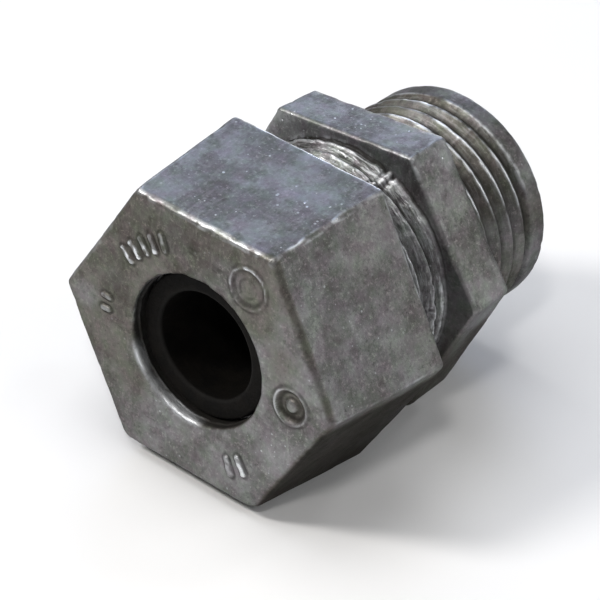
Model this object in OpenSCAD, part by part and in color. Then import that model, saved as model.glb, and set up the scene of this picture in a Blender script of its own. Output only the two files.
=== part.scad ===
// Compression strain-relief connector for flexible cord and cable, trade size 1/2.
//
// A die-cast connector body has a hexagonal collar, a tapered male hub thread that screws into a
// box or enclosure, and a larger male spigot thread on the other side. The gland nut runs on the
// spigot. Behind its lip it pushes a steel friction washer, and the washer pushes a rubber sealing
// bushing into the conical seat of the spigot, which squeezes the bushing onto the cord.
//
// Frame: the axis lies along Y. The origin is on the axis, in the plane of the collar's rear
// shoulder. The hub points along +Y, the gland nut's lip faces -Y, and +Z is up.

/* [Collar] */
// Distance across the collar's flats at its front edge
collar_across_flats = 25.8; // [25:0.1:27]
// Distance across the collar's flats at its rear shoulder
collar_rear_across_flats = 25.5; // [24.5:0.1:27]
// Length of the collar along the axis
collar_length = 5.2; // [4:0.1:8]
// How far the collar's corners are turned from the nut's corners
collar_turn = 5.7; // [0:0.1:30]

/* [Hub thread] */
// Crest radius of the hub thread at its free end
hub_crest_r = 10.67; // [10.4:0.01:10.8]
// Length of the hub from the shoulder to its free end
hub_length = 10.9; // [10:0.1:16]
// Length of the plain land at the free end
hub_land_length = 1.7; // [1.2:0.1:2.5]
// Length of the plain shank against the collar
hub_shank_length = 0.9; // [0.6:0.1:1.2]
// Radius gained for each millimetre towards the collar
hub_taper = 0.02; // [0:0.005:0.03]
// Radius of the throat, the plain bore through the hub
throat_r = 7.9; // [7:0.1:8]

/* [Spigot thread] */
// Crest radius of the spigot thread
spigot_crest_r = 11.9; // [11.7:0.05:12]
// Length of the spigot in front of the collar
spigot_length = 12.8; // [11:0.1:13]
// Radius of the conical seat at the spigot's mouth
seat_mouth_r = 10.1; // [10.05:0.05:10.2]
// Angle between the seat and the axis
seat_angle = 20; // [18:1:22]

/* [Thread form] */
// Threads per inch of both threads
threads_per_inch = 14; // [14:1:14]
// Depth of both threads
thread_depth = 1.0; // [0.8:0.05:1.05]
// Radial gap between the spigot thread and the nut's thread
thread_gap = 0.25; // [0.22:0.01:0.3]
// Place along the axis of a spigot crest, straight above the axis
spigot_crest_y = -5.65; // [-6:0.05:-5]
// Place along the axis of a hub crest, straight above the axis
hub_crest_y = 7.1; // [6:0.05:8]

/* [Gland nut] */
// Distance across the nut's flats at its lip
nut_across_flats = 26.3; // [26:0.1:28]
// Distance across the nut's flats at its open end
nut_rear_across_flats = 28.5; // [28:0.1:30]
// Length of the nut
nut_length = 13.9; // [13.5:0.1:14.5]
// Bare spigot between the nut and the collar
nut_standoff = 6.2; // [5.9:0.1:6.4]
// Radius of the opening in the lip
opening_r = 7.25; // [7.2:0.05:7.4]
// Thickness of the lip
lip_thickness = 2.2; // [1.8:0.1:2.3]
// Radius of the cast corners between the flats of nut and collar
corner_r = 0.9; // [0.4:0.1:1.5]

/* [Friction washer] */
// Thickness of the washer
washer_thickness = 0.6; // [0.4:0.1:0.7]
// Outer radius of the washer
washer_r = 9.9; // [9:0.1:10.2]

/* [Sealing bushing] */
// Radius of the bore that grips the cord
bushing_bore_r = 5.1; // [4:0.1:5.4]
// Radius of the nose that fills the nut's opening
nose_r = 7.0; // [6.8:0.05:7.05]
// How far the nose stays behind the face of the nut
nose_recess = 1.3; // [1:0.1:1.6]
// Radius of the flange that takes the washer's push
flange_r = 9.9; // [9.5:0.1:10]
// Length of the flange
flange_length = 1.1; // [0.8:0.1:1.2]
// Radius of the tail that enters the throat
tail_r = 7.55; // [7:0.05:7.6]
// Length of the tail
tail_length = 0.9; // [0.6:0.1:1.2]

/* [Hidden] */
pitch = 25.4 / threads_per_inch;
collar_front_y = -collar_length;
spigot_front_y = collar_front_y - spigot_length;
nut_rear_y = collar_front_y - nut_standoff;
nut_front_y = nut_rear_y - nut_length;
lip_rear_y = nut_front_y + lip_thickness;
washer_front_y = lip_rear_y + 0.05;
washer_rear_y = washer_front_y + washer_thickness;
flange_front_y = washer_rear_y + 0.05;
flange_rear_y = flange_front_y + flange_length;
taper_length = (flange_r - tail_r) / tan(seat_angle);
tail_rear_y = flange_rear_y + taper_length + tail_length;
nose_front_y = nut_front_y + nose_recess;
land_front_y = hub_length - hub_land_length;
// The shank is as wide as the widest crest, so nothing overhangs the shoulder
shank_r = hub_crest_r + hub_taper * hub_length + 0.02;
seat_length = (seat_mouth_r - throat_r) / tan(seat_angle);
spigot_root_r = spigot_crest_r - thread_depth;
pocket_r = spigot_crest_r + thread_gap + 0.1;
// The nut's thread is cut from its open end to the plain pocket behind the lip
nut_thread_front_y = nut_rear_y - 8.6;
edge_chamfer = 0.4;
bore_chamfer = 0.3;
// A shallow counterbore leads the nut onto the spigot
mouth_r = pocket_r + 0.1;
mouth_depth = 0.8;
thread_sides = 40;
rows_per_pitch = 6;
bury = 0.8;

cast_grey = "#8f9194";
rubber_black = "#1c1c1d";
steel_bright = "#c4c7ca";

// Turns a shape drawn around Z, with its heights along Z, so that its heights lie along +Y and the
// angle from +X stays the angle from +X towards +Z.
module along_y() {
    multmatrix([[1, 0, 0, 0], [0, 0, 1, 0], [0, 1, 0, 0], [0, 0, 0, 1]]) children();
}

// Height of the thread form, 0 at the root and 1 at the crest, at a fraction t of a pitch from a crest
function thread_form(t) = min(1, max(0, 0.5 + 0.7 * cos(360 * t)));

// Radius of a right-hand thread at height y and angle a. It runs out to its root over one pitch
// before y_end, and at y_start over start_run.
function thread_r(y, a, root_r, crest_y, taper, y_start, start_run, y_end, end_run) =
    let (in_run = min(1, max(0, (y - y_start) / start_run)),
         out_run = min(1, max(0, (y_end - y) / end_run)),
         turns = (y - crest_y) / pitch + (a - 90) / 360)
    root_r - taper * y + thread_depth * thread_form(turns) * min(in_run, out_run);

// A solid rod with a right-hand thread round it, from y_low to y_high along Y. Its flat ends are
// plain polygons and its side is a grid of rows and columns.
module threaded_rod(y_low, y_high, root_r, crest_y, taper, y_start, start_run, y_end, end_run) {
    row_count = ceil((y_high - y_low) / pitch * rows_per_pitch);
    step = (y_high - y_low) / row_count;
    points = [
        for (row = [0 : row_count], column = [0 : thread_sides - 1])
            let (y = y_low + row * step,
                 a = column * 360 / thread_sides,
                 r = thread_r(y, a, root_r, crest_y, taper, y_start, start_run, y_end, end_run))
            [r * cos(a), y, r * sin(a)]
    ];
    sides = [
        for (row = [0 : row_count - 1], column = [0 : thread_sides - 1])
            let (next = (column + 1) % thread_sides,
                 here = row * thread_sides + column,
                 beside = row * thread_sides + next)
            each [[here, beside, here + thread_sides], [beside, beside + thread_sides, here + thread_sides]]
    ];
    low_end = [for (column = [thread_sides - 1 : -1 : 0]) column];
    high_end = [for (column = [0 : thread_sides - 1]) row_count * thread_sides + column];
    polyhedron(points, concat([low_end], sides, [high_end]));
}

// A thin hexagon with rounded corners, in the plane at y, with corners at 0, 60, 120 degrees
module hexagon_slice(across_flats, y, thickness) {
    corner_distance = (across_flats / 2 - corner_r) / cos(30);
    along_y() translate([0, 0, y])
        linear_extrude(thickness)
            hull() for (k = [0 : 5])
                translate([corner_distance * cos(60 * k), corner_distance * sin(60 * k)])
                    circle(corner_r, $fn = 24);
}

// A drafted hexagonal block between two planes, with its long edges rounded
module hexagon_block(front_flats, rear_flats, front_y, rear_y) {
    sliver = 0.02;
    hull() {
        hexagon_slice(front_flats - 2 * edge_chamfer, front_y, sliver);
        hexagon_slice(front_flats, front_y + edge_chamfer, sliver);
        hexagon_slice(rear_flats, rear_y - edge_chamfer - sliver, sliver);
        hexagon_slice(rear_flats - 2 * edge_chamfer, rear_y - sliver, sliver);
    }
}

// A solid of revolution about the axis, from [radius, y] corners
module turned(corners) {
    along_y() rotate_extrude($fn = 96) polygon(corners);
}

module connector_body() {
    thread_over = spigot_front_y - 1;
    color(cast_grey)
    difference() {
        union() {
            rotate([0, -collar_turn, 0])
                hexagon_block(collar_across_flats, collar_rear_across_flats, collar_front_y, 0);
            threaded_rod(spigot_front_y, collar_front_y + bury, spigot_root_r, spigot_crest_y, 0,
                         spigot_front_y, pitch, collar_front_y + 2 * pitch, pitch);
            threaded_rod(-bury, land_front_y + bury, hub_crest_r + hub_taper * hub_length - thread_depth,
                         hub_crest_y, hub_taper, -2 * pitch, pitch, land_front_y, 0.4 * pitch);
            turned([[0, -bury], [shank_r, -bury], [shank_r, hub_shank_length], [0, hub_shank_length]]);
            turned([[0, land_front_y], [hub_crest_r, land_front_y],
                    [hub_crest_r, hub_length - edge_chamfer],
                    [hub_crest_r - edge_chamfer, hub_length], [0, hub_length]]);
        }
        turned([[0, thread_over], [seat_mouth_r, thread_over], [seat_mouth_r, spigot_front_y],
                [throat_r, spigot_front_y + seat_length], [throat_r, hub_length - bore_chamfer],
                [throat_r + bore_chamfer, hub_length], [throat_r + bore_chamfer, hub_length + 1],
                [0, hub_length + 1]]);
    }
}

module gland_nut() {
    color(cast_grey)
    difference() {
        hexagon_block(nut_across_flats, nut_rear_across_flats, nut_front_y, nut_rear_y);
        turned([[0, nut_front_y - 1], [opening_r + edge_chamfer, nut_front_y - 1],
                [opening_r + edge_chamfer, nut_front_y], [opening_r, nut_front_y + edge_chamfer],
                [opening_r, lip_rear_y], [pocket_r, lip_rear_y],
                [pocket_r, nut_thread_front_y], [0, nut_thread_front_y]]);
        threaded_rod(nut_thread_front_y - 0.5, nut_rear_y + 0.5, spigot_root_r + thread_gap,
                     spigot_crest_y, 0, nut_thread_front_y - 2 * pitch, pitch,
                     nut_rear_y + 2 * pitch, pitch);
        turned([[0, nut_rear_y - mouth_depth], [mouth_r, nut_rear_y - mouth_depth],
                [mouth_r, nut_rear_y + 1], [0, nut_rear_y + 1]]);
    }
}

module friction_washer() {
    color(steel_bright)
        turned([[nose_r + 0.15, washer_front_y], [washer_r, washer_front_y],
                [washer_r, washer_rear_y], [nose_r + 0.15, washer_rear_y]]);
}

module sealing_bushing() {
    color(rubber_black)
        turned([[bushing_bore_r + bore_chamfer, nose_front_y], [nose_r - bore_chamfer, nose_front_y],
                [nose_r, nose_front_y + bore_chamfer], [nose_r, flange_front_y],
                [flange_r, flange_front_y], [flange_r, flange_rear_y],
                [tail_r, flange_rear_y + taper_length], [tail_r, tail_rear_y],
                [bushing_bore_r + bore_chamfer, tail_rear_y],
                [bushing_bore_r, tail_rear_y - bore_chamfer],
                [bushing_bore_r, nose_front_y + bore_chamfer]]);
}

connector_body();
gland_nut();
friction_washer();
sealing_bushing();
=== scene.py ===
"""Looks of a die-cast compression cord connector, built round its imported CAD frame.

The four real pieces are the connector body, the gland nut, the sealing bushing and the friction
washer. The first three are drawn here as dense skins: a grid whose columns run round the axis and
whose rings follow the piece's section. The washer is the CAD node with a steel material.
The axis is Y, the nut's face looks towards -Y, and angles are counted from +X towards +Z.
Lengths in the shape functions are millimetres; meshes are stored in metres.
"""
import math

import bpy
import numpy as np
from mathutils import Matrix, Vector


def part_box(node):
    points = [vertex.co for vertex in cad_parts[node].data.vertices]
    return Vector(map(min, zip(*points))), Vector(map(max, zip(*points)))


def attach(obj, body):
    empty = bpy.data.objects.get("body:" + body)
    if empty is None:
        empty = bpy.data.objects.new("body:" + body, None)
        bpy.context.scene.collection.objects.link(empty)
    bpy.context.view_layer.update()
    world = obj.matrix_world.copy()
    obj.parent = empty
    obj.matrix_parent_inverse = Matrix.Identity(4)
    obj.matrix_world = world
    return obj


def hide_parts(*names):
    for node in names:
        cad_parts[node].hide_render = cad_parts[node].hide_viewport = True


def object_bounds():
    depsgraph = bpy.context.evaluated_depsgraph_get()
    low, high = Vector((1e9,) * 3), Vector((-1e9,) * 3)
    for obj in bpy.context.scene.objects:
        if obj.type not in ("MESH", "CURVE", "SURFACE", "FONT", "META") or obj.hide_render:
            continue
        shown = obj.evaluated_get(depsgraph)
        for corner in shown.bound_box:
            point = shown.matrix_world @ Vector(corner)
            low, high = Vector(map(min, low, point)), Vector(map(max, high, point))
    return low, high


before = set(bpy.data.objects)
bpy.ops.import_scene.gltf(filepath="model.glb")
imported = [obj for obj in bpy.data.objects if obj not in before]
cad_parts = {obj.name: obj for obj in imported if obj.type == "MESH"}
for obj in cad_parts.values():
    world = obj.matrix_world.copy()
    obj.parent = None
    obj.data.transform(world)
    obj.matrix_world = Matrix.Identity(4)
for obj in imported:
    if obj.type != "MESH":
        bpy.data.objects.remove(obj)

MM = 0.001
CAD_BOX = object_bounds()


def box_mm(node):
    """Lowest and highest corner of a CAD node, in millimetres."""
    low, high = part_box(node)
    return np.array(low) / MM, np.array(high) / MM


# ---------------------------------------------------------------- sizes, from the frame

BODY_LOW, BODY_HIGH = box_mm("connector_body")
NUT_LOW, NUT_HIGH = box_mm("gland_nut")
BUSH_LOW, BUSH_HIGH = box_mm("sealing_bushing")

# Both threads. The hub's is shallow from wear. A CREST_Y is where a crest passes the top.
THREADS_PER_INCH = 14
PITCH = 25.4 / THREADS_PER_INCH
THREAD_DEPTH = 1.0
THREAD_PLAY = 0.25
HUB_THREAD_DEPTH = 0.64
SPIGOT_CREST_Y = -5.65
HUB_CREST_Y = 7.1
CONE_SLOPE = math.tan(math.radians(20))

# Columns of each skin round the axis, few enough to keep it under 200,000 triangles.
BODY_COLUMNS = 420
NUT_COLUMNS = 540
BUSHING_COLUMNS = 260

# Body, from the spigot back to the hub's end: radii, and places and lengths along Y.
SPIGOT_FRONT = BODY_LOW[1]
SPIGOT_ROOT = 10.9
THROAT = 7.9
SEAT_MOUTH = 10.1
SEAT_REAR = SPIGOT_FRONT + (SEAT_MOUTH - THROAT) / CONE_SLOPE
COLLAR_FRONT = -5.2
COLLAR_FRONT_FLATS = 25.8
COLLAR_REAR_FLATS = 25.5
COLLAR_TURN = 5.7
HUB_END = BODY_HIGH[1]
HUB_CREST = 10.67
HUB_TAPER = 0.02
SHANK = HUB_CREST + HUB_TAPER * HUB_END
SHANK_LENGTH = 0.9
HUB_ROOT = SHANK - HUB_THREAD_DEPTH
LAND_LENGTH = 2.1
LAND_FRONT = HUB_END - LAND_LENGTH
PARTING_ANGLES = (69, 249)

# Nut.
NUT_FRONT = NUT_LOW[1]
NUT_REAR = NUT_HIGH[1]
NUT_DRAFT = 2.2
NUT_REAR_FLATS = NUT_HIGH[2] - NUT_LOW[2]
NUT_FRONT_FLATS = NUT_REAR_FLATS - NUT_DRAFT
OPENING = 7.25
LIP_THICKNESS = 2.2
LIP_REAR = NUT_FRONT + LIP_THICKNESS
POCKET = 12.25
MOUTH = 12.35
MOUTH_DEPTH = 0.8
NUT_THREAD_LENGTH = 8.6
NUT_THREAD_FRONT = NUT_REAR - NUT_THREAD_LENGTH
NUT_THREAD_ROOT = SPIGOT_ROOT + THREAD_PLAY

# Bushing.
BORE = 5.1
NOSE = 7.0
NOSE_FRONT = BUSH_LOW[1]
WASHER_ROOM = 0.7
FLANGE = BUSH_HIGH[0]
FLANGE_THICKNESS = 1.1
FLANGE_FRONT = LIP_REAR + WASHER_ROOM
FLANGE_REAR = FLANGE_FRONT + FLANGE_THICKNESS
TAIL = 7.55
TAIL_REAR = BUSH_HIGH[1]
TAPER_REAR = FLANGE_REAR + (FLANGE - TAIL) / CONE_SLOPE


# ---------------------------------------------------------------- shared shape functions

def smooth(low, high, value):
    """0 below low, 1 above high, with a soft ramp between."""
    t = np.clip((value - low) / (high - low), 0, 1)
    return t * t * (3 - 2 * t)


def ridge(value, centre, width):
    """1 at the centre, falling to about a third one width away from it."""
    return np.exp(-(((value - centre) / width) ** 2))


def degrees_from(angles, degrees):
    """How far round each angle lies from a direction, 0 to 180."""
    return np.abs((np.degrees(angles) - degrees + 180) % 360 - 180)


HASH_PRIMES = (73856093, 19349663, 83492791)
SEED_FACTOR = 2654435
HASH_FACTOR = 12741261


def lattice(ix, iy, iz, seed):
    """A fixed pseudo-random number from -1 to 1 for each lattice point."""
    px, py, pz = HASH_PRIMES
    h = (ix * px) ^ (iy * py) ^ (iz * pz) ^ (seed * SEED_FACTOR)
    h = ((h ^ (h >> 13)) * HASH_FACTOR) & 0x7FFFFFFF
    h = (h ^ (h >> 15)) & 0xFFFF
    return h / (0xFFFF / 2) - 1


def grain(points, size, seed):
    """A smooth random field over points, from -1 to 1, with lumps of about the given size."""
    p = points / size
    cell = np.floor(p).astype(np.int64)
    f = p - cell
    w = f * f * f * (f * (f * 6 - 15) + 10)
    total = 0
    for dx in (0, 1):
        for dy in (0, 1):
            for dz in (0, 1):
                corner = lattice(cell[..., 0] + dx, cell[..., 1] + dy, cell[..., 2] + dz, seed)
                weight = (
                    (w[..., 0] if dx else 1 - w[..., 0])
                    * (w[..., 1] if dy else 1 - w[..., 1])
                    * (w[..., 2] if dz else 1 - w[..., 2])
                )
                total = total + corner * weight
    return total


def crowded_angles(count, turn):
    """Angles round the axis, closer together at a hexagon's corners than on its flats."""
    crowding = 0.08
    t = np.arange(count) * 2 * math.pi / count
    return t - crowding * np.sin(6 * t) + math.radians(turn)


def hexagon(angles, flats, turn=0.0):
    """Radius of a hexagon with rounded corners, which point to turn, turn + 60 and so on.

    The lower corners are blunter than the upper ones.
    """
    step = math.pi / 3
    crisp, blunt = 0.5, 1.85
    corner = crisp + (blunt - crisp) * smooth(0.3, 0.8, -np.sin(angles))
    off = (angles - math.radians(turn) + step / 2) % step - step / 2
    out = (flats / 2 - corner) / math.cos(step / 2)
    flat = flats / 2 / np.cos(step / 2 - np.abs(off))
    arc = out * np.cos(off) + np.sqrt(np.maximum(corner**2 - (out * np.sin(off)) ** 2, 0))
    tangent = np.arctan2(corner * math.sin(step / 2), out + corner * math.cos(step / 2))
    return np.where(np.abs(off) < tangent, arc, flat)


def turns_from_crest(angles, y, crest_y):
    """Pitches of a right-hand thread from its crest, in phase with the CAD thread."""
    return (y - crest_y) / PITCH + (angles - math.pi / 2) / (2 * math.pi)


def thread_form(turns, crest=0.08):
    """Height of the thread, 1 on its worn crest and 0 in its root, with straight flanks.

    crest is half the width of the crest, in pitches.
    """
    root = 0.45
    soften = 0.035
    height = 0
    for shift in (-soften, 0, soften):
        away = np.abs((turns + shift + 0.5) % 1 - 0.5)
        height = height + np.clip((root - away) / (root - crest), 0, 1) / 3
    return height


class Section:
    """Rings of a skin, in order round the section. Each ring is a radius and a height per angle."""

    def __init__(self, angles):
        self.angles = angles
        self.rings = []

    def ring(self, radius, y):
        flat = np.ones_like(self.angles)
        self.rings.append((radius * flat, y * flat))

    def run(self, start, end, count):
        """Straight rings from start up to, but not including, end. Each end is (radius, y)."""
        for t in np.linspace(0, 1, count, endpoint=False):
            self.ring(start[0] + (end[0] - start[0]) * t, start[1] + (end[1] - start[1]) * t)

    def threaded(self, start, end, count, crest_y, radius):
        """Rings along a thread, closer together at its crests. radius(y) gives their radii."""
        run_in, crowding = 0.8, 0.55
        for y in np.linspace(start, end, count, endpoint=False):
            inside = smooth(0, run_in, y - start) * smooth(0, run_in, end - y)
            phase = 2 * math.pi * turns_from_crest(self.angles, y, crest_y)
            crowded = y - crowding * inside * PITCH / (2 * math.pi) * np.sin(phase)
            self.ring(radius(crowded), crowded)

    def edge(self, radius, y, size, solid, side, count=5):
        """A rounded edge between a face at y and a wall at radius.

        solid is +1 where the piece lies towards +y of the face, and -1 where it lies towards -y.
        side is +1 for an outer wall and -1 for a bore or for a root against a shoulder. A positive
        size runs from the face to the wall, and a negative one back.
        """
        reach = abs(size)
        quarter = np.linspace(0, math.pi / 2, count)
        for a in quarter if np.min(size) > 0 else quarter[::-1]:
            self.ring(
                radius - side * reach * (1 - math.sin(a)), y + solid * reach * (1 - math.cos(a))
            )

    def points(self):
        r = np.array([ring[0] for ring in self.rings])
        y = np.array([ring[1] for ring in self.rings])
        return np.stack([r * np.cos(self.angles), y, r * np.sin(self.angles)], axis=-1)


def grid_normals(p):
    """Outward normals of a grid that closes both ways."""
    along = np.roll(p, -1, axis=0) - np.roll(p, 1, axis=0)
    around = np.roll(p, -1, axis=1) - np.roll(p, 1, axis=1)
    n = np.cross(along, around)
    return n / np.maximum(np.linalg.norm(n, axis=-1, keepdims=True), 1e-9)


def bend(p, n):
    """How sharply the grid bends, in 1/mm: positive on edges, negative in corners."""
    total = 0
    for axis in (0, 1):
        dp = np.roll(p, -1, axis=axis) - np.roll(p, 1, axis=axis)
        dn = np.roll(n, -1, axis=axis) - np.roll(n, 1, axis=axis)
        total = total + (dp * dn).sum(-1) / np.maximum((dp * dp).sum(-1), 1e-6)
    return total


def blur(values, passes):
    """Evens out values over the grid."""
    for _ in range(passes):
        for axis in (0, 1):
            values = (np.roll(values, 1, axis) + 2 * values + np.roll(values, -1, axis)) / 4
    return values


def make_skin(name, p, **layers):
    """A closed mesh from the grid. Each layer is a value per point, such as its wear."""
    rows, columns = p.shape[:2]
    index = np.arange(rows * columns).reshape(rows, columns)
    above = np.roll(index, -1, axis=0)
    quads = np.stack(
        [index, above, np.roll(above, -1, axis=1), np.roll(index, -1, axis=1)], axis=-1
    )
    mesh = bpy.data.meshes.new(name)
    mesh.from_pydata((p.reshape(-1, 3) * MM).tolist(), [], quads.reshape(-1, 4).tolist())
    mesh.update()
    for label, values in layers.items():
        layer = mesh.attributes.new(label, "FLOAT", "POINT")
        layer.data.foreach_set("value", np.clip(values, 0, 1).astype(np.float32).ravel())
    mesh.shade_smooth()
    skin = bpy.data.objects.new(name, mesh)
    bpy.context.collection.objects.link(skin)
    return skin


def cast_skin(name, p, seed, edge_wear_and_painted_highlight, dirt_and_painted_shade, patina, polish_and_painted_highlight=0.0, tooled=0.0):
    """Roughens a grid as a casting is rough, and finds where it is worn, where it is dirty and
    where shade and highlight are painted on it.

    After the seed come five layers, each a value per point: how much wear the edges have had, with
    some upper edges made bright as painted highlight; how much darkness lies on a point besides
    what its corners hold, partly because it is dirty and partly as painted shade; how dull and
    brown it is, an oxide that also carries painted shade; how bright it is rubbed even where it
    has no edge, partly wear and partly painted highlight; and how strongly fine lines run round
    it. The mesh keeps each between 0 and 1.
    """
    n = grid_normals(p)
    sharp = blur(bend(p, n), 1)
    swell = 0.040 * grain(p, 4.5, seed) + 0.020 * grain(p, 1.6, seed + 1)
    fine = 0.012 * grain(p, 0.6, seed + 2)
    chips = smooth(0.5, 2.0, sharp) * smooth(0.1, 0.7, grain(p, 0.8, seed + 3)) * 0.06
    p = p + n * (swell + fine - chips)[..., None]
    n = grid_normals(p)
    sharp = bend(p, n)
    patchy = 0.45 + 0.55 * smooth(-0.35, 0.25, grain(p, 2.4, seed + 4))
    # Wear on edges and on the rubbed places given; on the castings it also paints highlights on
    # upper edges, thread crests and the lip.
    wear = np.maximum(blur(smooth(0.4, 2.4, sharp), 1) * edge_wear_and_painted_highlight, polish_and_painted_highlight) * patchy
    # Darker in concave corners and roots, partly dirty and partly painted shade, and wherever the
    # given layer lays painted shade.
    grime = np.maximum(blur(smooth(0.3, 2.2, -sharp), 2) * (1 - polish_and_painted_highlight), dirt_and_painted_shade)
    # Made uneven; on the castings this layer also carries painted shade.
    patina = patina * (1 + 0.8 * grain(p, 3.2, seed + 5))
    tooled = tooled * np.ones(p.shape[:2])
    return make_skin(name, p, wear=wear, grime=grime, patina=patina, tooled=tooled)


# ---------------------------------------------------------------- relief on the face of the nut

def polar(radius, degrees):
    """A point in the plane of the face, from the axis."""
    a = math.radians(degrees)
    return radius * math.cos(a), radius * math.sin(a)


def stroke(x, z, start, end, width):
    """1 on a straight stroke between two points, falling softly to 0 past its sides."""
    dx, dz = end[0] - start[0], end[1] - start[1]
    t = np.clip(((x - start[0]) * dx + (z - start[1]) * dz) / (dx * dx + dz * dz), 0, 1)
    away = np.hypot(x - start[0] - t * dx, z - start[1] - t * dz)
    return 1 - smooth(width * 0.3, width * 0.8, away)


def hoop(x, z, centre, radius, width):
    """1 on a round line, falling softly to 0 beside it."""
    away = np.abs(np.hypot(x - centre[0], z - centre[1]) - radius)
    return 1 - smooth(width * 0.3, width * 0.8, away)


def disc(x, z, centre, radius):
    """1 inside a circle, falling softly to 0 at its edge."""
    return 1 - smooth(radius - 0.25, radius + 0.1, np.hypot(x - centre[0], z - centre[1]))


def face_relief(x, z):
    """Height in mm of the plain foundry marks on the nut's face: ticks, rings and a sunk disc."""
    height = 0
    # Radial ticks: where they start and end, their width and height, and their directions.
    for inner, outer, width, tall, directions in (
        (9.5, 10.9, 0.52, 0.26, (142, 135, 128, 121, 114)),
        (9.9, 10.6, 0.50, 0.26, (175, 182)),
        (10.0, 11.5, 0.55, 0.28, (-65, -57)),
    ):
        for degrees in directions:
            tick = stroke(x, z, polar(inner, degrees), polar(outer, degrees), width)
            height = height + tall * tick
    # The faint rings of an ejector pin, and a flow line beside them.
    ejector = polar(10.6, 60)
    height = height + 0.12 * hoop(x, z, ejector, 1.95, 0.34)
    height = height + 0.06 * hoop(x, z, ejector, 1.15, 0.30)
    height = height + 0.07 * stroke(x, z, polar(10.2, 98), polar(9.6, 76), 0.22)
    place = np.stack([x, np.zeros_like(x), z], axis=-1)
    height = height * (0.85 + 0.3 * grain(place, 0.5, 97))
    # A sunk disc with a raised rim and a dot.
    stamp = polar(10.7, -1)
    height = height - 0.30 * disc(x, z, stamp, 1.50)
    height = height + 0.12 * hoop(x, z, stamp, 1.75, 0.30)
    return height + 0.30 * disc(x, z, stamp, 0.70)


# ---------------------------------------------------------------- the four pieces

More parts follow.
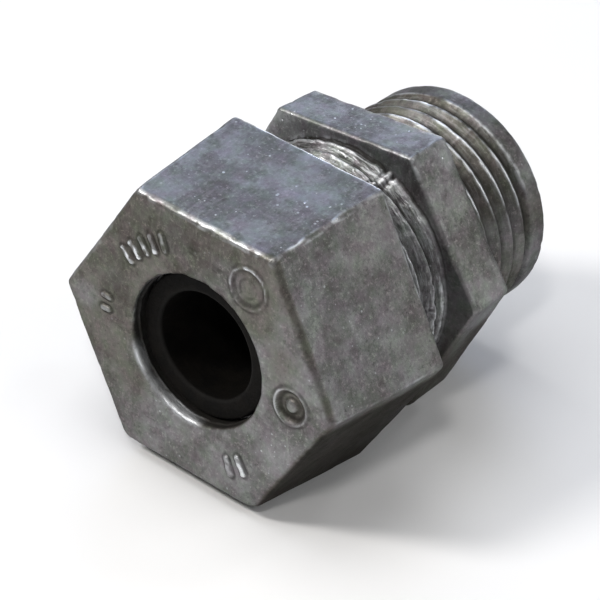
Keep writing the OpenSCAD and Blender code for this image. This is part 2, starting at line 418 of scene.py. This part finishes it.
def connector_body():
    """One casting: seat, spigot thread, hexagonal collar, taper thread and the bore through it."""
    angles = crowded_angles(BODY_COLUMNS, COLLAR_TURN)
    section = Section(angles)
    from_parting = np.minimum(*(degrees_from(angles, a) for a in PARTING_ANGLES))
    parting = ridge(from_parting, 0, 0.9)
    beside_parting = ridge(from_parting, 2.2, 0.8)
    # The two halves of the mould stand a little out of step.
    mismatch = 0.012 * np.where((np.degrees(angles) - PARTING_ANGLES[0]) % 360 < 180, 1, -1)
    crest = 0.05

    def ragged(y, size):
        """Torn and filled spots of a cast thread, drawn out along it, from -1 to 1."""
        drawn_out = 3
        around = angles * SPIGOT_ROOT / drawn_out
        return grain(np.stack([around, y * np.ones_like(angles), 0 * angles], axis=-1), size, 5)

    def spigot(y):
        """Radius of the rough thread that carries the nut."""
        run_in = np.clip((y - SPIGOT_FRONT) / PITCH, 0, 1)
        form = thread_form(turns_from_crest(angles, y + mismatch, SPIGOT_CREST_Y), crest)
        torn = np.maximum(0.03 + 0.07 * ragged(y, 0.5) + 0.14 * ragged(y, 0.2), 0)
        # Four fine grooves to a pitch, and at the parting a low flash with torn crests beside it.
        groove = 0.035
        lines = groove * np.cos(8 * math.pi * turns_from_crest(angles, y, SPIGOT_CREST_Y)) - groove
        flash = 0.08 * parting - 0.28 * beside_parting * form
        return SPIGOT_ROOT + ((THREAD_DEPTH - torn) * form + lines + flash) * run_in

    def hub(y):
        """Radius of the worn taper thread, with its plain land at the end."""
        form = thread_form(turns_from_crest(angles, y + mismatch, HUB_CREST_Y), crest)
        root = HUB_ROOT - HUB_TAPER * y
        full = root + (HUB_THREAD_DEPTH - 0.03 * ragged(y, 0.5)) * form + 0.03 * parting
        return full + (HUB_CREST - full) * smooth(-0.25, 0.1, y - LAND_FRONT)

    def shank_and_hub(y):
        """Radius behind the collar, plain at first and then threaded."""
        bare = 1 - smooth(0.75, 1.0, y / SHANK_LENGTH)
        return hub(y) + (SHANK - hub(y)) * bare

    front_hex = hexagon(angles, COLLAR_FRONT_FLATS, COLLAR_TURN)
    rear_hex = hexagon(angles, COLLAR_REAR_FLATS, COLLAR_TURN)
    fillet = 0.3
    # Rings are sparse on the part of the spigot that the nut hides at rest.
    seen_from = NUT_REAR - 0.8
    section.run((SEAT_MOUTH, SPIGOT_FRONT), (spigot(SPIGOT_FRONT), SPIGOT_FRONT), 3)
    section.threaded(SPIGOT_FRONT, seen_from, 26, SPIGOT_CREST_Y, spigot)
    section.threaded(seen_from, COLLAR_FRONT - fillet, 58, SPIGOT_CREST_Y, spigot)
    root = spigot(COLLAR_FRONT - fillet)
    section.edge(root, COLLAR_FRONT, -fillet, solid=-1, side=-1)
    section.run((root + fillet + 0.02, COLLAR_FRONT), (front_hex - 0.37, COLLAR_FRONT), 6)
    section.edge(front_hex, COLLAR_FRONT, 0.35, solid=1, side=1)
    section.run((front_hex, COLLAR_FRONT + 0.5), (rear_hex, -0.5), 11)
    section.edge(rear_hex, 0, -0.4, solid=-1, side=1)
    section.run((rear_hex - 0.7, 0), (SHANK + 0.6, 0), 5)
    section.edge(SHANK, 0, fillet, solid=1, side=-1)
    section.threaded(SHANK_LENGTH * 0.55, LAND_FRONT + 0.15, 64, HUB_CREST_Y, shank_and_hub)
    section.run((HUB_CREST, LAND_FRONT + 0.2), (HUB_CREST, HUB_END - 0.6), 7)
    section.edge(HUB_CREST, HUB_END, -0.45, solid=-1, side=1)
    section.run((HUB_CREST - 0.8, HUB_END), (THROAT + 0.6, HUB_END), 4)
    section.edge(THROAT, HUB_END, 0.35, solid=-1, side=-1, count=4)
    section.run((THROAT, HUB_END - 0.8), (THROAT, SEAT_REAR), 12)
    section.run((THROAT, SEAT_REAR), (SEAT_MOUTH, SPIGOT_FRONT), 5)
    p = section.points()
    # Where each point lies.
    y = p[..., 1]
    on_collar = smooth(11.6, 12.4, np.hypot(p[..., 0], p[..., 2]))
    on_hub = smooth(0.3, 0.8, y)
    on_land = smooth(-0.3, 0, y - LAND_FRONT)
    on_spigot = (1 - on_hub) * (1 - on_collar)
    form = thread_form(turns_from_crest(angles, y, SPIGOT_CREST_Y), crest)
    crests = smooth(0.8, 1, form) * on_spigot
    # The spigot's thread roots, which are darkened as painted shade, partly dirty too.
    roots = (1 - smooth(0, 0.35, form)) * on_spigot
    # Near the collar's upper right corner, whose edges are made bright as painted highlight.
    highlit_collar_corner = ridge(degrees_from(angles, 60 + COLLAR_TURN), 0, 9)
    # Most on the upper side, where the hub's crests are made bright as painted highlight.
    top = 0.08 + 0.92 * smooth(0.3, 0.75, np.sin(angles + 0.15))
    # The right side, where the hub and spigot are darkened as painted shade and their bright crests
    # and tooled lines are dimmed.
    right = smooth(0.55, 0.9, np.cos(angles))
    # The collar's right flats, which are darkened as painted shade.
    shaded_collar_right = smooth(0.4, 0.6, np.cos(angles)) * on_collar
    # The collar's underside, which is darkened as painted shade.
    under = smooth(0.05, 0.3, -np.sin(angles)) * on_collar
    # What has happened to it there, and where shade and highlight are painted on it.
    # Thread crests worn, brightest on the hub's upper side as painted highlight, and the collar's
    # edges brighter near its upper right corner as painted highlight.
    thread_wear_and_highlight = 1 + (top - 1) * on_hub
    edge_wear_and_painted_highlight = thread_wear_and_highlight * (1 - on_collar) + (0.1 + 0.6 * highlit_collar_corner) * on_collar
    # Painted shade under the collar, on the right side of hub and spigot and in the spigot's roots,
    # partly dirty there too; the hub a little darker overall.
    dirt_and_painted_shade = (
        0.5 * under + (0.12 + 0.13 * right) * on_hub + 0.6 * roots + 0.15 * right * on_spigot
    )
    # The hub dulled and darker, less on its land, which is left lighter as painted light; the
    # collar's underside and right flats darkened as painted shade.
    patina = under + on_hub * (1 - 0.5 * on_land) + 0.35 * shaded_collar_right
    # The spigot's crests rubbed bright, partly wear and partly painted highlight, less on the right
    # side as painted shade.
    polish_and_painted_highlight = 0.7 * crests * (1 - 0.5 * right)
    # Fewer tooled lines on the right side, as painted shade.
    lined = (1 - 0.85 * on_hub) * (1 - on_land) * (1 - 0.4 * right)
    tooled = lined * (1 - on_collar) * (1 - 0.6 * crests)
    return cast_skin("body_casting", p, 11, edge_wear_and_painted_highlight, dirt_and_painted_shade, patina, polish_and_painted_highlight, tooled)


def gland_nut():
    """One casting: marked face, lip with a worn opening, drafted hexagon, thread inside."""
    angles = crowded_angles(NUT_COLUMNS, 0)
    section = Section(angles)
    front_hex = hexagon(angles, NUT_FRONT_FLATS)
    rear_hex = hexagon(angles, NUT_REAR_FLATS)
    rear_round = 0.5
    front_round = 0.6 + 0.15 * smooth(0.35, 0.6, np.cos(angles))
    # 1 at the lower left, where the lip's edge is rounded wider and where a bright glint is painted
    # on its bore.
    low_left = -np.sin(angles + 0.55)
    chamfer = 0.4 + 0.35 * smooth(0.5, 0.9, low_left)

    def thread(y):
        """Radius of the thread inside, which runs on the spigot's."""
        form = thread_form(turns_from_crest(angles, y, SPIGOT_CREST_Y))
        return NUT_THREAD_ROOT + THREAD_DEPTH * form

    section.edge(OPENING, NUT_FRONT, -chamfer, solid=1, side=-1, count=6)
    face_start = len(section.rings)
    section.run(
        (OPENING + chamfer + 0.1, NUT_FRONT), (front_hex - front_round - 0.05, NUT_FRONT), 50
    )
    face_end = len(section.rings)
    section.edge(front_hex, NUT_FRONT, front_round, solid=1, side=1, count=6)
    section.run(
        (front_hex, NUT_FRONT + front_round + 0.15), (rear_hex, NUT_REAR - rear_round - 0.15), 46
    )
    section.edge(rear_hex, NUT_REAR, -rear_round, solid=-1, side=1, count=6)
    section.run((rear_hex - rear_round - 0.1, NUT_REAR), (MOUTH + 0.3, NUT_REAR), 6)
    section.edge(MOUTH, NUT_REAR, 0.2, solid=-1, side=-1, count=3)
    mouth_end = NUT_REAR - MOUTH_DEPTH
    section.run((MOUTH, NUT_REAR - 0.3), (MOUTH, mouth_end), 2)
    section.threaded(mouth_end, NUT_THREAD_FRONT, 32, SPIGOT_CREST_Y, thread)
    section.run((POCKET, NUT_THREAD_FRONT - 0.05), (POCKET, LIP_REAR), 4)
    section.run((POCKET, LIP_REAR), (OPENING, LIP_REAR), 5)
    section.run((OPENING, LIP_REAR), (OPENING, NUT_FRONT + 1.25), 3)
    # A small burr round the opening, behind its rounded edge.
    burr_height, burr_depth = 0.13, 1.0
    for inward in np.linspace(1.2, chamfer + 0.1, 12, endpoint=False):
        section.ring(OPENING - burr_height * ridge(inward, burr_depth, 0.15), NUT_FRONT + inward)
    p = section.points()
    face = p[face_start:face_end]
    relief = np.zeros(p.shape[:2])
    relief[face_start:face_end] = face_relief(face[..., 0], face[..., 2])
    p[..., 1] -= relief
    # Where each point lies.
    out = np.hypot(p[..., 0], p[..., 2])
    depth = p[..., 1] - NUT_FRONT
    from_top = degrees_from(angles, 90)
    upper = 1 - smooth(65, 85, from_top)
    on_face = 1 - smooth(0.05, 0.35, depth)
    on_rim = smooth(11.5, 12.8, out)
    # Inside the bore behind the lip, which is darkened as painted shade.
    shaded_bore = (1 - smooth(OPENING + 0.1, OPENING + 0.3, out)) * smooth(0.3, 0.5, depth)
    near_bore = 1 - smooth(OPENING + 0.35, OPENING + 0.65, out)
    # The upper flat, whose edges are worn brighter, partly wear and partly painted highlight.
    top_flat = 1 - smooth(28, 34, from_top)
    # The long edge at the upper right, which is made bright as painted highlight.
    highlit_top_right_edge = ridge(degrees_from(angles, 60), 0, 3)
    # The rear edge of the upper flats, worn brighter, partly wear and partly painted highlight.
    rear_edge = smooth(12.5, 13.2, depth) * upper
    # The outer rear edge of the upper flats, rubbed bright and torn, partly wear and partly painted
    # highlight.
    torn_and_highlit_rear_edge = (
        smooth(13.3, 13.6, depth) * upper * smooth(rear_hex - 0.5, rear_hex - 0.3, out)
    )
    front_edge = smooth(0.02, 0.25, depth) * (1 - smooth(0.6, 1.0, depth))
    # The rounded front edge on the right, which is darkened as painted shade.
    shoulder = front_edge * smooth(0.4, 0.55, np.cos(angles))
    # The right flats, which are darkened a little as painted shade.
    right = smooth(0.4, 0.6, np.cos(angles)) * (1 - on_face)
    # The lower flats, which are darkened almost to black as painted shade.
    under = smooth(0.02, 0.14, -np.sin(angles)) * (1 - on_face)
    # A painted highlight: a bright crescent on the lip's bore at the lower left, over the burr,
    # rubbed bare and kept clear of painted shade.
    painted_lip_glint = ridge(depth, 0.45, 0.50) * smooth(0.70, 0.95, low_left) * near_bore
    # What has happened to it there, and where shade and highlight are painted on it. The face is
    # dullest at its upper left, painted shade over its brown oxide.
    face_oxide_and_shade = 0.2 + 0.8 * smooth(-12, 6, p[..., 2] - 0.8 * p[..., 0])
    # Edges worn more along the upper flat, the upper rear edge and the upper right edge, partly
    # wear and partly painted highlight.
    edges = 0.25 + np.maximum(0.55 * top_flat, 0.45 * rear_edge) + 0.5 * highlit_top_right_edge
    marks = 0.7 * smooth(0.06, 0.16, np.abs(relief))
    edge_wear_and_painted_highlight = np.minimum(0.2 + on_rim * edges + marks + painted_lip_glint, 1)
    # The bore behind the lip and the lower flats darkened as painted shade.
    dirt_and_painted_shade = np.maximum(shaded_bore * (1 - painted_lip_glint), 0.85 * under)
    # The face's brown oxide, growing towards its upper left as painted shade; the lower flats, the
    # right front edge and the right flats darkened as painted shade.
    patina = (on_face * face_oxide_and_shade + under + shoulder + 0.3 * right) * (1 - painted_lip_glint)
    # The lip's crescent and the upper rear edge rubbed bright as painted highlight, the raised
    # marks as wear.
    polish_and_painted_highlight = np.maximum(1.8 * painted_lip_glint, 0.9 * smooth(0.12, 0.22, relief)) + torn_and_highlit_rear_edge
    return cast_skin("nut_casting", p, 41, edge_wear_and_painted_highlight, dirt_and_painted_shade, patina, polish_and_painted_highlight)


def sealing_bushing():
    """One moulding: nose, flange, conical back, and a bore with fine grip rings."""
    angles = np.arange(BUSHING_COLUMNS) * 2 * math.pi / BUSHING_COLUMNS
    section = Section(angles)
    section.edge(BORE, NOSE_FRONT, -0.35, solid=1, side=-1)
    section.run((BORE + 0.5, NOSE_FRONT), (NOSE - 0.45, NOSE_FRONT), 8)
    section.edge(NOSE, NOSE_FRONT, 0.3, solid=1, side=1)
    section.run((NOSE, NOSE_FRONT + 0.5), (NOSE, FLANGE_FRONT - 0.1), 5)
    section.run((NOSE, FLANGE_FRONT), (FLANGE - 0.3, FLANGE_FRONT), 6)
    section.edge(FLANGE, FLANGE_FRONT, 0.25, solid=1, side=1)
    section.run((FLANGE, FLANGE_FRONT + 0.4), (FLANGE, FLANGE_REAR), 3)
    section.run((FLANGE, FLANGE_REAR), (TAIL, TAPER_REAR), 14)
    section.run((TAIL, TAPER_REAR), (TAIL, TAIL_REAR - 0.3), 3)
    section.edge(TAIL, TAIL_REAR, -0.25, solid=-1, side=1)
    section.run((TAIL - 0.4, TAIL_REAR), (BORE + 0.45, TAIL_REAR), 5)
    section.edge(BORE, TAIL_REAR, 0.35, solid=-1, side=-1)
    section.run((BORE, TAIL_REAR - 0.5), (BORE, NOSE_FRONT + 0.5), 40)
    p = section.points()
    n = grid_normals(p)
    inner = 1 - smooth(BORE + 0.02, BORE + 0.3, np.hypot(p[..., 0], p[..., 2]))
    grip = 0.012 * np.cos(2 * math.pi * p[..., 1] / 0.7) * inner
    p = p + n * (0.02 * grain(p, 2.2, 71) + 0.008 * grain(p, 0.5, 72) + grip)[..., None]
    sharp = bend(p, grid_normals(p))
    return make_skin("bushing_rubber_part", p, wear=blur(smooth(0.6, 3, sharp), 1))


# ---------------------------------------------------------------- materials

class Nodes:
    """Adds shader nodes by kind. A socket takes a number, a colour or another node's output."""

    def __init__(self, name):
        self.material = bpy.data.materials.new(name)
        self.material.use_nodes = True
        self.tree = self.material.node_tree
        self.tree.nodes.clear()

    def add(self, kind, settings=None, **sockets):
        """A node with its own settings. The other keywords are its sockets, _ for a space."""
        node = self.tree.nodes.new("ShaderNode" + kind)
        for label, value in (settings or {}).items():
            setattr(node, label, value)
        for label, value in sockets.items():
            self.plug(node.inputs[label.replace("_", " ")], value)
        return node

    def plug(self, socket, value):
        if isinstance(value, bpy.types.NodeSocket):
            self.tree.links.new(value, socket)
        else:
            socket.default_value = value

    def noise(self, where, size_mm, detail=3.0, roughness=0.55, stretch=None):
        """Noise with lumps of about size_mm. stretch squeezes it along each axis."""
        if stretch:
            mapping = self.add("Mapping", Vector=where)
            mapping.inputs["Scale"].default_value = stretch
            where = mapping.outputs["Vector"]
        node = self.add(
            "TexNoise", Vector=where, Scale=1 / (size_mm * MM), Detail=detail, Roughness=roughness
        )
        return node.outputs["Fac"]

    def ramp(self, value, low, high, start=0.0, end=1.0):
        """Maps low..high to start..end, and holds it there outside."""
        node = self.add(
            "MapRange", {"clamp": True},
            Value=value, From_Min=low, From_Max=high, To_Min=start, To_Max=end
        )
        return node.outputs["Result"]

    def math(self, operation, first, second):
        """A sum on two values."""
        node = self.add("Math", {"operation": operation})
        self.plug(node.inputs[0], first)
        self.plug(node.inputs[1], second)
        return node.outputs["Value"]

    def mix(self, amount, first, second, blend="MIX"):
        """A mix of two colours."""
        node = self.add("Mix", {"data_type": "RGBA", "blend_type": blend})
        self.plug(node.inputs[0], amount)
        self.plug(node.inputs[6], first)
        self.plug(node.inputs[7], second)
        return node.outputs[2]

    def bump(self, height, distance_mm, strength, normal=None):
        """A normal bent by height, on top of another normal if there is one."""
        node = self.add("Bump", Height=height, Distance=distance_mm * MM, Strength=strength)
        if normal:
            self.plug(node.inputs["Normal"], normal)
        return node.outputs["Normal"]

    def attribute(self, name):
        """A layer of the skin."""
        return self.add("Attribute", {"attribute_name": name}).outputs["Fac"]

    def finish(self, **sockets):
        """Ends the tree in a Principled shader and gives the material."""
        shader = self.add("BsdfPrincipled", **sockets)
        output = self.add("OutputMaterial")
        self.tree.links.new(shader.outputs["BSDF"], output.inputs["Surface"])
        return self.material


def grey(value, warm=0.0):
    """A linear grey. warm leans it to brown, or to blue below 0."""
    return (value * (1 + warm), value, value * (1 - warm), 1)


def cast_aluminium(name, dark, light):
    """Tumbled die-cast alloy: soft patches of oxide, fine grain, bright nicks, dark roots.

    dark and light are the tones of its patches. The skin's four layers steer the rest; besides wear
    and dirty places they carry painted shade in corners, roots, bores and on shaded sides, and
    painted highlights on upper edges, thread crests and the lip.
    """
    n = Nodes(name)
    where = n.add("TexCoord").outputs["Object"]
    clouds = n.noise(where, 4.8, detail=6, roughness=0.62)
    mottle = n.noise(where, 1.1, detail=6, roughness=0.6)
    gritty = n.noise(where, 0.34, detail=5, roughness=0.75)
    fine = n.noise(where, 0.18, detail=4, roughness=0.6)
    streaks = n.noise(where, 0.7, detail=5, roughness=0.7, stretch=(1.6, 0.35, 0.5))
    lines = n.noise(where, 0.5, detail=4, roughness=0.65, stretch=(0.22, 2.2, 0.22))
    stain = n.noise(where, 1.5, detail=4)
    wear, grime, patina, tooled = (
        n.attribute(layer) for layer in ("wear", "grime", "patina", "tooled")
    )

    # Patches, streaks and pits in the casting's own tones.
    patch = n.math("ADD", n.math("MULTIPLY", clouds, 0.6), n.math("MULTIPLY", mottle, 0.4))
    patch = n.ramp(patch, 0.34, 0.66)
    tone = n.mix(patch, grey(dark, 0.03), grey(light, -0.02))
    tone = n.mix(n.ramp(streaks, 0.48, 0.72, 0, 0.45), tone, grey(light * 1.3))
    pits = n.math(
        "MULTIPLY", n.ramp(gritty, 0.54, 0.66), n.ramp(streaks, 0.42, 0.60, 0.15, 0.7)
    )
    tone = n.mix(pits, tone, grey(dark * 0.45, 0.03))
    tone = n.mix(n.ramp(gritty, 0.45, 0.34, 0, 0.55), tone, grey(light * 1.6, 0.02))
    tone = n.mix(n.ramp(clouds, 0.505, 0.53, 0, 0.16), tone, grey(light * 1.5, -0.02))

    # Dark lines of the tooled threads, partly dark tool marks and partly painted shade in their
    # grooves, then faint stains of magenta and green, then the brown oxide layer, which also lays
    # painted shade on undersides, right sides and the nut face's upper left.
    dark_lines = n.math("MULTIPLY", tooled, n.ramp(lines, 0.52, 0.59, 0, 0.75))
    tone = n.mix(dark_lines, tone, grey(dark * 0.3))
    tone = n.mix(n.ramp(stain, 0.50, 0.66, 0, 0.9), tone, (0.98, 0.89, 0.96, 1), "MULTIPLY")
    tone = n.mix(n.ramp(stain, 0.50, 0.34, 0, 0.9), tone, (0.91, 1.0, 0.90, 1), "MULTIPLY")
    tone = n.mix(patina, tone, (0.62, 0.59, 0.52, 1), "MULTIPLY")

    # Small nicks of unequal size, in clusters, crowded on the tooled threads and thinned where the
    # brown oxide layer, with its painted shade, lies.
    cells = n.add("TexVoronoi", {"feature": "F1"}, Vector=where, Scale=1 / (0.5 * MM))
    chance = n.add("SeparateColor", Color=cells.outputs["Color"]).outputs["Red"]
    reach = n.ramp(chance, 0.55, 1.0, 0, 0.30)
    nicks = n.ramp(n.math("SUBTRACT", cells.outputs["Distance"], reach), -0.07, 0.0, 1, 0)
    cluster = n.ramp(n.noise(where, 2.2, detail=3), 0.47, 0.57, 0.05, 1)
    crowded = n.math("MAXIMUM", cluster, n.math("MULTIPLY", tooled, 0.7))
    nicks = n.math("MULTIPLY", nicks, crowded)
    nicks = n.math("MULTIPLY", nicks, n.ramp(patina, 0.05, 0.4, 1, 0.15))

    # Bright metal on worn edges, in nicks and along the tooled lines, where on the castings the
    # worn and tooled places also carry painted highlights and glints; dark in the corners, partly
    # dirty and partly painted shade.
    burnish = n.math("MULTIPLY", n.ramp(wear, 0.15, 0.8), n.ramp(mottle, 0.38, 0.54, 0.15, 1))
    bright_lines = n.math("MULTIPLY", tooled, n.ramp(lines, 0.47, 0.41, 0, 0.8))
    shine = n.math("MAXIMUM", n.math("MAXIMUM", burnish, nicks), bright_lines)
    # Bare bright metal where wear is high, which on the castings includes painted highlights on
    # upper edges, crests and the lip.
    bare = n.ramp(wear, 0.70, 0.95)
    tone = n.mix(shine, tone, grey(0.56, -0.03))
    tone = n.mix(bare, tone, grey(0.85, -0.03))
    # Near black where the corner darkness layer is high: painted shade in corners, roots, the nut's
    # bore and on the undersides, partly dirty too.
    tone = n.mix(n.ramp(grime, 0.1, 0.9, 0, 0.85), tone, grey(0.022, 0.08))

    rough = n.ramp(patch, 0, 1, 0.50, 0.38)
    rough = n.math("SUBTRACT", rough, n.math("MULTIPLY", shine, 0.16))
    rough = n.math("ADD", rough, n.math("MULTIPLY", grime, 0.25))
    normal = n.bump(fine, 0.05, 0.5)
    normal = n.bump(mottle, 0.09, 0.45, normal)
    normal = n.bump(n.math("SUBTRACT", 1.0, pits), 0.03, 0.5, normal)
    normal = n.bump(nicks, 0.06, 0.7, normal)
    normal = n.bump(n.math("MULTIPLY", tooled, lines), 0.18, 0.6, normal)
    normal = n.bump(n.math("MULTIPLY", wear, gritty), 0.10, 0.5, normal)
    return n.finish(
        Base_Color=tone, Metallic=0.85, Roughness=rough, Normal=normal,
        Specular_IOR_Level=0.3, Specular_Tint=grey(0.4)
    )


def moulded_rubber():
    """Black rubber, dull, with a faint bloom and greyer where an edge is rubbed."""
    n = Nodes("moulded_rubber")
    where = n.add("TexCoord").outputs["Object"]
    fine = n.noise(where, 0.18, detail=3)
    bloom = n.noise(where, 1.6, detail=5, roughness=0.65)
    tone = n.mix(n.ramp(bloom, 0.4, 0.7), grey(0.0018, 0.15), grey(0.0045, 0.25))
    tone = n.mix(n.ramp(n.attribute("wear"), 0.2, 0.9, 0, 0.5), tone, grey(0.012, 0.05))
    rough = n.ramp(fine, 0.3, 0.7, 0.62, 0.8)
    return n.finish(
        Base_Color=tone, Roughness=rough, Specular_IOR_Level=0.10, Normal=n.bump(fine, 0.04, 0.5)
    )


def stamped_steel():
    """Thin rolled steel with fine scratches and light stains."""
    n = Nodes("stamped_steel")
    where = n.add("TexCoord").outputs["Object"]
    scratches = n.noise(where, 0.35, detail=4, roughness=0.7, stretch=(0.3, 1, 1.6))
    stain = n.noise(where, 2.0, detail=4)
    tone = n.mix(n.ramp(stain, 0.4, 0.65), grey(0.42, 0.02), grey(0.56, -0.01))
    rough = n.ramp(scratches, 0.3, 0.7, 0.28, 0.45)
    normal = n.bump(scratches, 0.02, 0.4)
    return n.finish(Base_Color=tone, Metallic=1.0, Roughness=rough, Normal=normal)


def painted_floor():
    n = Nodes("pale_floor")
    where = n.add("TexCoord").outputs["Object"]
    tone = n.mix(n.noise(where, 60, detail=2), grey(0.86), grey(0.90))
    return n.finish(Base_Color=tone, Roughness=0.8)


# ---------------------------------------------------------------- studio

VIEW_AZIMUTH = math.radians(37.2)
VIEW_ELEVATION = math.radians(34.6)
VIEW_ROLL = math.radians(4.6)
VIEW_DISTANCE = 0.283
LENS_MM = 193.5
AIM = Vector((1.3, -12.8, 0)) * MM


def camera():
    """A view from the right and above: the nut's face to the left, the hub to the upper right."""
    level = math.cos(VIEW_ELEVATION)
    back = Vector((
        math.sin(VIEW_AZIMUTH) * level, -math.cos(VIEW_AZIMUTH) * level, math.sin(VIEW_ELEVATION)
    ))
    across = Vector((math.cos(VIEW_AZIMUTH), math.sin(VIEW_AZIMUTH), 0))
    upright = back.cross(across)
    right = across * math.cos(VIEW_ROLL) + upright * math.sin(VIEW_ROLL)
    up = back.cross(right)
    data = bpy.data.cameras.new("view")
    data.lens = LENS_MM
    data.clip_start = 0.01
    eye = bpy.data.objects.new("view", data)
    bpy.context.collection.objects.link(eye)
    turn = Matrix((right, up, back)).transposed().to_4x4()
    eye.matrix_world = Matrix.Translation(AIM + back * VIEW_DISTANCE) @ turn
    bpy.context.scene.camera = eye


def soft_light(name, place, size, watts, colour=(1, 1, 1)):
    """A square soft box that faces the object."""
    data = bpy.data.lights.new(name, "AREA")
    data.size = size
    data.energy = watts
    data.color = colour
    lamp = bpy.data.objects.new(name, data)
    bpy.context.collection.objects.link(lamp)
    lamp.location = place
    lamp.rotation_euler = (AIM - Vector(place)).to_track_quat("-Z", "Y").to_euler()


def studio():
    """A pale floor under the object, an even sky and soft boxes. Places are in metres."""
    lowest = CAD_BOX[0].z
    reach = 2.0
    mesh = bpy.data.meshes.new("floor")
    corners = [
        (x * reach, y * reach, lowest) for x, y in ((-1, -1), (1, -1), (1, 1), (-1, 1))
    ]
    mesh.from_pydata(corners, [], [(0, 1, 2, 3)])
    floor = bpy.data.objects.new("floor", mesh)
    bpy.context.collection.objects.link(floor)
    floor.data.materials.append(painted_floor())
    world = bpy.data.worlds.new("studio")
    world.use_nodes = True
    sky = world.node_tree.nodes["Background"]
    sky.inputs["Color"].default_value = (0.97, 0.98, 1.0, 1)
    sky.inputs["Strength"].default_value = 0.13
    bpy.context.scene.world = world
    bpy.context.scene.view_settings.view_transform = "Standard"
    soft_light("top_box", (-0.12, -0.05, 0.60), 0.40, 1.5, (0.97, 0.98, 1.0))
    soft_light("key_box", (-0.30, -0.36, 0.42), 0.12, 2.15, (1.0, 0.975, 0.945))
    soft_light("back_box", (-0.40, 0.54, 0.44), 0.40, 1.1, (0.58, 0.70, 1.0))
    soft_light("side_box", (0.56, 0.50, 0.26), 0.30, 0.80)
    soft_light("front_box", (0.18, -0.34, 0.46), 0.06, 0.65, (1.0, 0.98, 0.96))
    soft_light("low_back_box", (-0.38, 0.62, 0.10), 0.15, 0.7)
    soft_light("rim_box", (0.23, 0.42, 0.64), 0.09, 0.35)
    soft_light("right_box", (0.46, 0.02, 0.46), 0.16, 0.40)
    soft_light("left_box", (-0.46, 0.02, 0.46), 0.16, 0.20, (1.0, 0.98, 0.95))


# ---------------------------------------------------------------- put together

def dress(piece, body, node, material):
    """A piece rides on its body, stands for its CAD node and takes its finish."""
    piece.data.materials.append(material)
    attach(piece, body)
    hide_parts(node)


body_metal = cast_aluminium("cast_body", dark=0.105, light=0.28)
nut_metal = cast_aluminium("cast_nut", dark=0.117, light=0.275)
dress(connector_body(), "connector", "connector_body", body_metal)
dress(gland_nut(), "nut", "gland_nut", nut_metal)
dress(sealing_bushing(), "seal_pack", "sealing_bushing", moulded_rubber())

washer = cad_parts["friction_washer"]
washer.data.materials.clear()
washer.data.materials.append(stamped_steel())
rounded = washer.modifiers.new("stamped_edge", "BEVEL")
rounded.width = 0.08 * MM
rounded.segments = 2
rounded.limit_method = "ANGLE"

camera()
studio()

bpy.context.view_layer.update()
